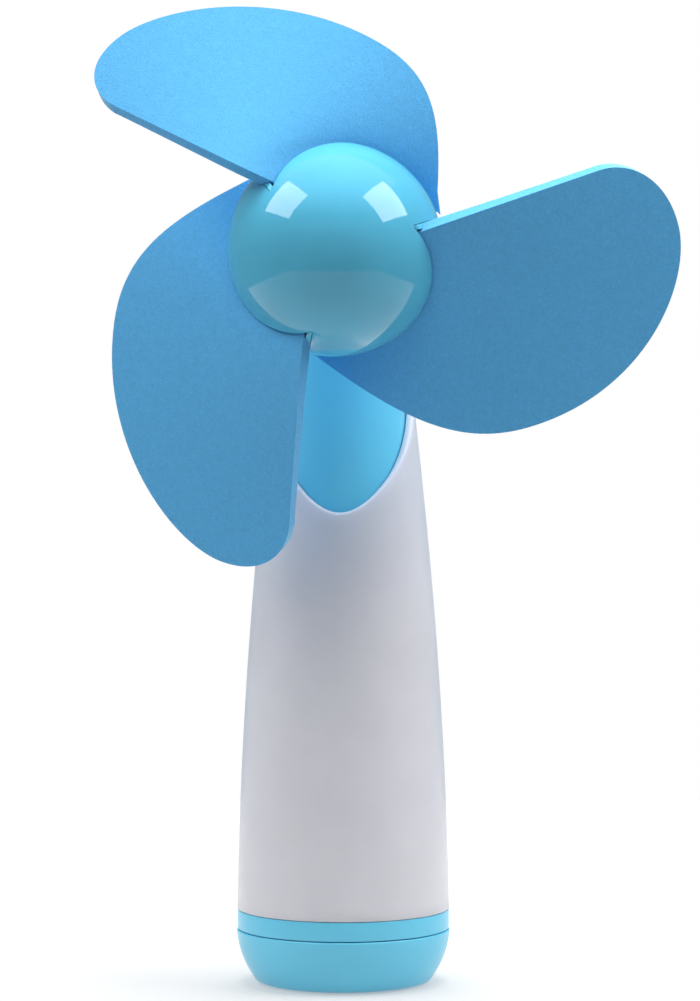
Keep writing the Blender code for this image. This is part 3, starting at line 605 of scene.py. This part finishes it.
def rounded(profile, radius, steps=4):
    """A closed or open profile whose inner corners are replaced by small arcs of a given radius."""
    points = [Vector(point) for point in profile]
    result = [points[0]]
    for before, corner, after in zip(points, points[1:], points[2:]):
        into, out = (corner - before), (after - corner)
        turn = into.angle(out, 0.0)
        if turn < math.radians(25.0):
            result.append(corner)
            continue
        reach = min(radius * math.tan(turn / 2), into.length * 0.45, out.length * 0.45)
        start, end = corner - into.normalized() * reach, corner + out.normalized() * reach
        for step in range(steps + 1):
            share = step / steps
            result.append(start * (1 - share) ** 2 + corner * 2 * share * (1 - share) + end * share**2)
    return [tuple(point) for point in result + [points[-1]]]


def box_form(x, y, z):
    """A plain block between two places along each axis, used to cut or to be rounded."""
    form = bmesh.new()
    bmesh.ops.create_cube(form, size=1.0)
    bmesh.ops.scale(form, vec=[high - low for low, high in (x, y, z)], verts=form.verts)
    bmesh.ops.translate(form, verts=form.verts, vec=[(low + high) / 2 for low, high in (x, y, z)])
    return form


def rounded_block(x, y, z, radius, segments=4):
    """A block with all its edges rounded."""
    form = box_form(x, y, z)
    bmesh.ops.bevel(form, geom=form.edges, offset=radius, segments=segments, profile=0.5, affect="EDGES")
    return form


def woven(columns, wrap=True):
    """A closed skin from columns of points, each a closed loop; without wrap, the two ends are capped."""
    form = bmesh.new()
    rows = [[form.verts.new(point) for point in column] for column in columns]
    count = len(rows[0])
    for index in range(len(rows) if wrap else len(rows) - 1):
        here, there = rows[index], rows[(index + 1) % len(rows)]
        for step in range(count):
            following = (step + 1) % count
            form.faces.new((here[step], there[step], there[following], here[following]))
    if not wrap:
        form.faces.new(rows[0])
        form.faces.new(list(reversed(rows[-1])))
    return form


def facing(form, place):
    """Turns a shape drawn along z so that it runs towards +Y, then moves it."""
    for vert in form.verts:
        x, y, z = vert.co
        vert.co = (x + place[0], z + place[1], -y + place[2])
    return form


def bezier(control, amount):
    """A point on a cubic curve, from 0 at its start to 1 at its end."""
    a, b, c, d = (Vector(point) for point in control)
    rest = 1.0 - amount
    return a * rest**3 + b * 3 * rest**2 * amount + c * 3 * rest * amount**2 + d * amount**3


# Handle


def cap_radius(height):
    """The cap's outer radius, which draws in towards the foot."""
    return CAP_R - CAP_FLARE * (RING_BOTTOM - height) ** 2


def sleeve_radius(height):
    """The handle's outer radius: a slow curve inwards that levels out below the head."""
    climb = height - SLEEVE_BOTTOM
    bell = SLEEVE_R - SLEEVE_TAPER * climb - SLEEVE_CURVE * climb**2
    return (bell + SLEEVE_TOP_R + math.hypot(bell - SLEEVE_TOP_R, SLEEVE_BLEND)) / 2


def cut_depth(height):
    """Where the sleeve's slanting top edge lies along y at each height."""
    climb = height - CUT_Z
    curved = min(climb, CUT_STRAIGHT)
    depth = CUT_SLOPE * curved + CUT_BEND * curved**2
    slope = CUT_SLOPE + 2 * CUT_BEND * CUT_STRAIGHT
    return depth + slope * max(climb - CUT_STRAIGHT, 0.0) - sleeve_radius(CUT_Z)


def sleeve_top(angle):
    """The height at which the sleeve ends, for an angle measured round from the front."""
    low, high = CUT_Z - 1.0, HUB.z
    for _ in range(40):
        middle = (low + high) / 2
        if cut_depth(middle) + sleeve_radius(middle) * math.cos(angle) < 0.0:
            low = middle
        else:
            high = middle
    return low


def make_sleeve():
    """The white sleeve, with its rim and foot rounded over and the switch's window in its back."""
    columns = []
    rows, count, round_steps = 36, 144, 10
    half = SLEEVE_WALL / 2
    swings = [math.pi * step / round_steps for step in range(1, round_steps)]
    foot_middle = sleeve_radius(SLEEVE_BOTTOM) - half
    for step in range(count):
        angle = 2 * math.pi * step / count
        top = sleeve_top(angle)
        top_middle = sleeve_radius(top) - half
        bottom, upper = SLEEVE_BOTTOM + SLEEVE_FOOT_ROUND, top - RIM_ROUND
        heights = [bottom + (upper - bottom) * row / rows for row in range(rows + 1)]
        outline = [(sleeve_radius(height), height) for height in heights]
        outline += [(top_middle + half * math.cos(swing), upper + RIM_ROUND * math.sin(swing))
                    for swing in swings]
        outline += [(sleeve_radius(height) - SLEEVE_WALL, height) for height in reversed(heights)]
        outline += [(foot_middle - half * math.cos(swing), bottom - SLEEVE_FOOT_ROUND * math.sin(swing))
                    for swing in swings]
        columns.append([(r * math.sin(angle), -r * math.cos(angle), z) for r, z in outline])
    sleeve = finished("sleeve", woven(columns), "sleeve_white", "handle", "handle_sleeve")
    wide, tall = WINDOW_HALF
    window = rounded_block((-wide, wide), (10.0, 26.0), (SWITCH_Z - tall, SWITCH_Z + tall), 0.9)
    boolean(sleeve, window)
    sleeve.data.set_sharp_from_angle(angle=math.radians(40.0))


def make_ring():
    """The fixed blue ring: rounded lips above and below, its spigot inside the sleeve and its neck below."""
    spigot = sleeve_radius(SPIGOT_TOP) - SLEEVE_WALL - GAP
    low, high = RING_BOTTOM - SEAM_BELOW, RING_TOP + SEAM_ABOVE
    start = (RING_INSIDE_R + 0.3, RING_FOOT)
    profile = [
        start, (RING_NECK_R, RING_FOOT), (RING_NECK_R, low), (RING_R, low), (RING_R, high), (spigot, high),
        (spigot, SPIGOT_TOP), (SPIGOT_INSIDE_R, SPIGOT_TOP), (SPIGOT_INSIDE_R, high),
        (RING_INSIDE_R, high), (RING_INSIDE_R, RING_FOOT), start,
    ]
    form = turned(rounded(profile, 0.14)[:-1], 144)
    finished("ring", form, "cyan_satin", "handle", "base_ring")


def arc_block(inner, outer, low, high, middle, half, steps=8):
    """A block bent round the handle's axis, centred on an angle in degrees."""
    columns = []
    for step in range(steps + 1):
        angle = math.radians(middle - half + 2 * half * step / steps)
        loop = ((inner, low), (outer, low), (outer, high), (inner, high))
        columns.append([(r * math.cos(angle), r * math.sin(angle), z) for r, z in loop])
    return woven(columns, wrap=False)


def make_cap():
    """The battery cap: a hollow cup with a rounded foot and lip, a coin slot and its bayonet lugs."""
    steps = 14
    heights = [CAP_CHAMFER + (CAP_TOP - CAP_CHAMFER) * step / steps for step in range(steps + 1)]
    outer = [(0.0, FOOT_HOLLOW), (FOOT_R - 2.6, FOOT_HOLLOW), (FOOT_R - 2.0, 0.0), (FOOT_R, 0.0)]
    outer += [(cap_radius(height), height) for height in heights]
    inner = [(cap_radius(height) - CAP_WALL, height) for height in reversed(heights) if height > CAP_FLOOR]
    profile = outer + inner + [(cap_radius(CAP_FLOOR) - CAP_WALL, CAP_FLOOR), (0.0, CAP_FLOOR)]
    form = turned(rounded(profile, 0.3), 144, closed=False)
    cap = finished("cap", form, "cyan_satin", "cap", "battery_cap")
    for index in range(3):
        boolean(cap, arc_block(*LUG_SPAN, *LUG_HEIGHTS, index * SECTOR, LUG_HALF_ANGLE), "UNION")
    long, wide = COIN_SLOT_HALF
    boolean(cap, rounded_block((-long, long), (-wide, wide), (-3.0, COIN_SLOT_DEPTH), 0.35))
    cap.data.set_sharp_from_angle(angle=CREASE)


# Head


def housing_radius(height):
    """The neck's outer radius, a running gap inside the sleeve."""
    return sleeve_radius(height) - SLEEVE_WALL - GAP


def head_profile(inset, bottom, rows=24, ball_rows=16):
    """The round neck that ends in a ball level with the motor axis."""
    heights = [bottom + (HUB.z - bottom) * row / rows for row in range(rows + 1)]
    profile = [(0.0, bottom)] + [(housing_radius(height) - inset, height) for height in heights]
    ball = housing_radius(HUB.z) - inset
    for step in range(1, ball_rows):
        angle = math.pi / 2 * step / ball_rows
        profile.append((ball * math.cos(angle), HUB.z + ball * math.sin(angle)))
    return profile + [(0.0, HUB.z + ball)]


def level_turned(profile, segments, height):
    """A profile of (radius, y) points turned about a level axis that runs to the back at a height."""
    return facing(turned(profile, segments, closed=False), (0, 0, height))


def plug(radius, front, back):
    """The profile of a plain round bar between two places along its axis."""
    return [(0.0, front), (radius, front), (radius, back), (0.0, back)]


def head_shell(name, cut_span, segments, snout=None):
    """One shell of neck and head, with its parting edge rounded and its inside hollow."""
    form = turned(head_profile(0.0, HOUSING_BOTTOM), segments, closed=False)
    shell = finished(f"neck_{name}", form, "cyan_satin", "handle", f"housing_{name}")
    if snout:
        boolean(shell, level_turned(rounded(snout, 1.1), segments, HUB.z), "UNION")
    boolean(shell, box_form((-30.0, 30.0), cut_span, (60.0, 180.0)))
    bevelled(shell, 0.22, 50.0, 2)
    boolean(shell, turned(head_profile(HOUSING_WALL, HOUSING_BOTTOM - 5.0), segments, closed=False))
    return shell


def make_housings():
    """The two shells of neck and head, with a fine parting line, screw wells behind and the motor's snout."""
    segments = 96
    front = head_shell("front", (-GAP / 2, 30.0), segments, plug(SNOUT_R, SNOUT_FRONT, -2.0))
    boolean(front, level_turned(plug(NOSE_HOLE_R, SNOUT_FRONT - 2.0, 0.0), 48, HUB.z))
    boolean(front, level_turned(plug(MOTOR_SEAT_R, SNOUT_FRONT + 1.5, 3.0), 64, HUB.z))
    rear = head_shell("rear", (-30.0, GAP / 2), segments)
    for height in SCREW_HEIGHTS:
        reach = housing_radius(height) - HOUSING_WALL / 2
        seat = reach - SCREW_SEAT
        boolean(rear, level_turned(plug(SCREW_POST_R, 0.6, reach), 48, height), "UNION")
        recess = [(0.0, seat), (SCREW_RECESS_R, seat), (SCREW_RECESS_R, reach + 0.45)]
        recess += [(SCREW_MOUTH_R, 20.0), (0.0, 20.0)]
        boolean(rear, level_turned(recess, 48, height))
        boolean(rear, level_turned(plug(PILOT_R, -1.0, 20.0), 24, height))
    for shell in (front, rear):
        shell.data.shade_smooth()
        shell.data.set_sharp_from_angle(angle=CREASE)


# Hub


def rim_height(turn):
    """Height of the dome's lower edge, turn degrees clockwise from a notch."""
    return RIM_FRONT - RIM_DROP * turn / SECTOR


def spot(radius, height, turn, notch):
    """A point of the hub, turn degrees clockwise from a notch."""
    angle = math.radians(notch - turn)
    return Vector((radius * math.cos(angle), radius * math.sin(angle), height))


def make_dome():
    """The glossy ball front. Each skirt's free edge and its ledge at the notch are rounded over."""
    fine = [0.15 + 1.0 * step for step in range(4)]
    turns = fine + [5.0 + 3.0 * step for step in range(37)] + [115.2, 117.2, 118.6, 119.7]
    cap_rows, skirt_rows, edge_steps = 26, 18, 8
    round_over = 0.45
    form = bmesh.new()

    def at(ball, polar, turn, notch):
        return spot(ball * math.sin(polar), ball * math.cos(polar), turn, notch)

    def loop(turn, notch, low_height):
        """Down the outside from the top, round the edge and back up the inside."""
        outer, inner = HUB_R, HUB_R - DOME_WALL
        first = math.acos(RIM_FRONT / outer)
        points = [at(outer, first * row / cap_rows, turn, notch) for row in range(cap_rows)]
        end = math.acos((low_height + round_over) / outer)
        points += [at(outer, first + (end - first) * row / skirt_rows, turn, notch)
                   for row in range(skirt_rows + 1)]
        polar_edge = math.acos(low_height / ((outer + inner) / 2))
        inner_end = math.acos((low_height + round_over) / inner)
        for step in range(1, edge_steps):
            share = step / edge_steps
            bulge = math.sin(math.pi * share)
            ball = outer + (inner - outer) * (0.5 - 0.5 * math.cos(math.pi * share))
            base = end + (inner_end - end) * share
            points.append(at(ball, base + (polar_edge - (end + inner_end) / 2) * bulge, turn, notch))
        inner_first = math.acos(RIM_FRONT / inner)
        points += [at(inner, inner_end + (inner_first - inner_end) * row / skirt_rows, turn, notch)
                   for row in range(skirt_rows + 1)]
        points += [at(inner, inner_first * (1 - row / cap_rows), turn, notch) for row in range(1, cap_rows)]
        return points

    for index, notch in enumerate(NOTCHES):
        columns = [loop(turn, notch, rim_height(turn)) for turn in turns]
        closing = loop(turns[0], NOTCHES[index - 1], rim_height(turns[0]))
        count = len(columns[0])
        rows = [[form.verts.new(point) for point in column] for column in columns]
        for here, there in zip(rows, rows[1:]):
            for step in range(count - 1):
                join(form, (here[step], there[step], there[step + 1], here[step + 1]))
        tail = [form.verts.new(point) for point in closing]
        last = rows[-1]
        for step in range(cap_rows):
            join(form, (last[step], tail[step], tail[step + 1], last[step + 1]))
            back = count - 1 - step
            join(form, (last[back], last[back - 1], tail[back - 1], tail[back]))
        wall = [last[cap_rows + step] for step in range(count - 2 * cap_rows)]
        half = len(wall) // 2
        for step in range(half):
            across = len(wall) - 1 - step
            join(form, (wall[step], wall[across], wall[across - 1], wall[step + 1]))
            join(form, (tail[cap_rows + step], tail[cap_rows + step + 1],
                        tail[cap_rows + across - 1], tail[cap_rows + across]))
    bmesh.ops.remove_doubles(form, verts=form.verts, dist=1e-4)
    finished("dome", form, "cyan_gloss", "rotor", "hub_dome", hub=True)


def join(form, corners):
    """A face from vertices, leaving out any that coincide, unless that face is already there."""
    kept = []
    for corner in corners:
        if all((corner.co - other.co).length > 1e-5 for other in kept):
            kept.append(corner)
    if len(kept) > 2 and form.faces.get(kept) is None:
        form.faces.new(kept)


def make_hub_rear():
    """The rear half: a spiral ramp under each blade, with a rib where the next one starts.

    The rib laps under the dome's free edge, so the seam between them is a fine slit that shows no light.
    """
    lap_start, slit_start, rib_start, rib_end, wall_end = -1.6, -0.24, 0.1, 3.3, 6.0
    lap_top, slit_floor, everywhere, nowhere = 9.0, 7.0, -13.5, 100.0
    lap_ball = HUB_R - DOME_WALL - GAP
    shelf = HUB_BACK + RAMP_WALL
    floor = HUB_BACK + HUB_FLOOR
    inner_ball = HUB_R - DOME_WALL
    columns = []
    arc_rows, rise_rows = 24, 12
    round_off = 0.3
    for notch in reversed(NOTCHES):
        stops = [
            (lap_start - 0.1, rim_height(SECTOR) - SLOT_GAP, False, nowhere),
            (lap_start, lap_top, True, everywhere),
            (slit_start - 0.05, lap_top, True, everywhere),
            (slit_start, lap_top, True, slit_floor),
            (rib_start - 0.05, lap_top, True, slit_floor),
            (rib_start, rim_height(rib_start) - GAP, True, nowhere),
            (rib_end, rim_height(rib_end) - GAP, True, nowhere),
            (rib_end + 0.1, rim_height(rib_end) - SLOT_GAP, True, nowhere),
            (wall_end, rim_height(wall_end) - SLOT_GAP, True, nowhere),
            (wall_end + 0.1, rim_height(wall_end) - SLOT_GAP, False, nowhere),
        ]
        turns = [9.0 + 3.0 * step for step in range(37)]
        stops += [(turn, rim_height(turn) - SLOT_GAP, False, nowhere) for turn in turns]
        for turn, top, solid, recessed_above in stops:
            under = shelf if solid else max(top - RAMP_WALL, shelf)
            arc = [top - round_off + (HUB_BACK + round_off - top + round_off) * step / arc_rows
                   for step in range(arc_rows + 1)]
            top_ball = lap_ball if top > recessed_above else HUB_R
            loop = [(RAMP_R, top), (RAMP_MIDDLE_R, top), (math.sqrt(top_ball**2 - top**2) - round_off, top)]
            for height in arc:
                ball = lap_ball if height > recessed_above else HUB_R
                loop.append((math.sqrt(ball**2 - height**2), height))
            loop += [(math.sqrt(HUB_R**2 - HUB_BACK**2) - round_off, HUB_BACK)]
            loop += [(RAMP_R, HUB_BACK), (RAMP_R, floor)]
            rise = [floor + (under - floor) * step / rise_rows for step in range(rise_rows + 1)]
            loop += [(math.sqrt(inner_ball**2 - z**2), z) for z in rise]
            loop += [(RAMP_R, under)]
            columns.append([spot(radius, height, turn, notch) for radius, height in loop])
    finished("hub_back", woven(columns), "cyan_satin", "rotor", "hub_rear", hub=True)


# Blades


def lean_back(radius, slope):
    """How far a blade has leant back at a radius: nothing inside the hub, then a smooth slope."""
    past = max(radius - HUB_R, 0.0)
    return slope * past * past / (past + LEAN_START)


def flexed(point, flex):
    """A point of the flat blade after the foam has bent, still in the plane facing the front."""
    angle = math.radians(flex["along"])
    along = Vector((math.cos(angle), math.sin(angle)))
    across = Vector((-along.y, along.x))
    bent = along * (along.dot(point) * flex["squeeze"]) + across * (across.dot(point) * flex["stretch"])
    swing = math.radians(flex["swing"])
    return Vector((
        bent.x * math.cos(swing) - bent.y * math.sin(swing) + flex["shift"][0],
        bent.x * math.sin(swing) + bent.y * math.cos(swing) + flex["shift"][1],
    ))


def blade_edge(flex, per_curve):
    """The outline from the end of the straight edge, round the tip and back to the hub."""
    points = []
    for control, count in zip((TIP_CURVE, OUTER_CURVE, BACK_CURVE), per_curve):
        points += [flexed(bezier(control, step / count), flex) for step in range(count)]
    return points + [Vector(BACK_CURVE[-1])]


def blade_height(point, flex):
    """How far forward the middle of the foam lies at a point seen from the front."""
    around = math.degrees(math.atan2(-point.y, point.x))
    return rim_height(around) - SLOT_GAP / 2 - lean_back(point.length, flex["lean"])


def blade_columns(flex):
    """Rows of points on the middle of the foam, each row running from the hub out to the outline."""
    outline = blade_edge(flex, OUTLINE_STEPS)
    columns = []
    for index, end in enumerate(outline):
        share = index / (len(outline) - 1)
        turn = math.radians(ROOT_SPAN[0] + (ROOT_SPAN[1] - ROOT_SPAN[0]) * share)
        ray = Vector((math.cos(turn), -math.sin(turn)))
        root, exit_point = ray * ROOT_R, ray * HUB_R
        if index == 0:
            exit_point = Vector(LEADING_EXIT)
        through = [root + (exit_point - root) * row / GRIPPED_ROWS for row in range(GRIPPED_ROWS)]
        through += [exit_point + (end - exit_point) * row / FREE_ROWS for row in range(FREE_ROWS + 1)]
        columns.append([Vector((point.x, point.y, blade_height(point, flex))) for point in through])
    return columns


def foam_back(point, normal, row, slant):
    """The foam's back behind a point: straight back in the hub's grip, square to the sheet beyond it."""
    free = min(1.0, max(0.0, (row - GRIPPED_ROWS + 2) / 3.0))
    clockwise = Vector((point.y, -point.x, 0.0)).normalized()
    through_foam = normal.lerp(Vector((0, 0, 1)), 1.0 - free) + clockwise * slant * free
    return point + Vector((0, 0, FOAM / 2)) - through_foam.normalized() * FOAM


def around_edge(grid):
    """The points along the edge of a grid, once round."""
    points = list(grid[0])
    points += [column[-1] for column in grid[1:]]
    points += grid[-1][-2::-1]
    return points + [column[0] for column in grid[-2:0:-1]]


def make_blade(number, notch, flex):
    """A die-cut foam sheet gripped by the hub's spiral slot: smooth faces and slightly rounded cut edges."""
    columns = blade_columns(flex)
    form = bmesh.new()
    front, back = [], []
    for index, (column, directions) in enumerate(zip(columns, surface_normals(columns))):
        slant = flex["slant"] * max(0.0, 1.0 - index / SLANTED_COLUMNS)
        front.append([form.verts.new(point + Vector((0, 0, FOAM / 2))) for point in column])
        back.append([form.verts.new(foam_back(point, normal, row, slant))
                     for row, (point, normal) in enumerate(zip(column, directions))])
    for index in range(len(columns) - 1):
        for row in range(len(columns[0]) - 1):
            a, b = front[index][row], front[index + 1][row]
            c, d = front[index + 1][row + 1], front[index][row + 1]
            form.faces.new((a, b, c, d))
            a, b = back[index][row], back[index + 1][row]
            c, d = back[index + 1][row + 1], back[index][row + 1]
            form.faces.new((d, c, b, a))
    rim_front, rim_back = around_edge(front), around_edge(back)
    for index in range(len(rim_front)):
        after = (index + 1) % len(rim_front)
        form.faces.new((rim_front[index], rim_front[after], rim_back[after], rim_back[index]))
    blade = finished(f"foam_blade_{number}", form, "foam_blue", "rotor", f"blade_{number}")
    bevelled(blade, FOAM_ROUND, 50.0, 3)
    blade.data.transform(Matrix.Rotation(math.radians(notch), 4, "Z"))
    blade.data.transform(TO_HUB)
    mark_edges(blade)


def surface_normals(columns):
    """The direction square to the sheet at each of its points."""
    result = []
    for index, column in enumerate(columns):
        before, after = columns[max(index - 1, 0)], columns[min(index + 1, len(columns) - 1)]
        directions = []
        for row in range(len(column)):
            inward, outward = column[max(row - 1, 0)], column[min(row + 1, len(column) - 1)]
            normal = (after[row] - before[row]).cross(outward - inward)
            directions.append(normal.normalized() if normal.length > 1e-9 else Vector((0, 0, 1)))
        result.append(directions)
    return result


def mark_edges(blade):
    """Stores how much each point of the foam belongs to a cut edge and not to a face."""
    mesh = blade.data
    values = mesh.attributes.new("cut_edge", "FLOAT", "POINT")
    for vert in mesh.vertices:
        values.data[vert.index].value = 1.0 - min(1.0, abs(vert.normal.y) * 1.35)


def make_knob():
    """The slide knob: a rounded pad with three grip ribs and its stem."""
    low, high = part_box("switch_knob")
    middle = (low + high) / 2 / MM
    pad_front, pad_back = KNOB_PAD
    wide, tall = KNOB_HALF
    form = rounded_block((-wide, wide), (pad_front, pad_back), (middle.z - tall, middle.z + tall), 0.55, 4)
    knob = finished("knob", form, "cyan_satin", "switch", "switch_knob")
    stem = box_form((-1.5, 1.5), (KNOB_STEM_FRONT, pad_front + 0.3), (middle.z - 1.0, middle.z + 1.0))
    boolean(knob, stem, "UNION")
    long, proud, thick = RIB_HALF
    for index in (-1, 0, 1):
        height = middle.z + RIB_STEP * index
        across_pad = (pad_back - proud, pad_back + proud)
        rib = rounded_block((-long, long), across_pad, (height - thick, height + thick), 0.2, 3)
        boolean(knob, rib, "UNION")
    knob.data.shade_smooth()
    knob.data.set_sharp_from_angle(angle=CREASE)


def paint_frame():
    """Gives every CAD node that still shows its procedural material."""
    slots = {part["node"]: part["material_slot"] for part in frame["record"]["subparts"]}
    for name, node in frame["nodes"].items():
        node.data.materials.clear()
        node.data.materials.append(LOOKS[slots[name]].material)


make_camera()
LOOKS = make_looks()
make_stage()
make_surround()
make_lights()
paint_frame()
make_sleeve()
make_ring()
make_cap()
make_housings()
make_dome()
make_hub_rear()
for number, (notch, flex) in enumerate(zip(NOTCHES, FLEX), 1):
    make_blade(number, notch, flex)
make_knob()
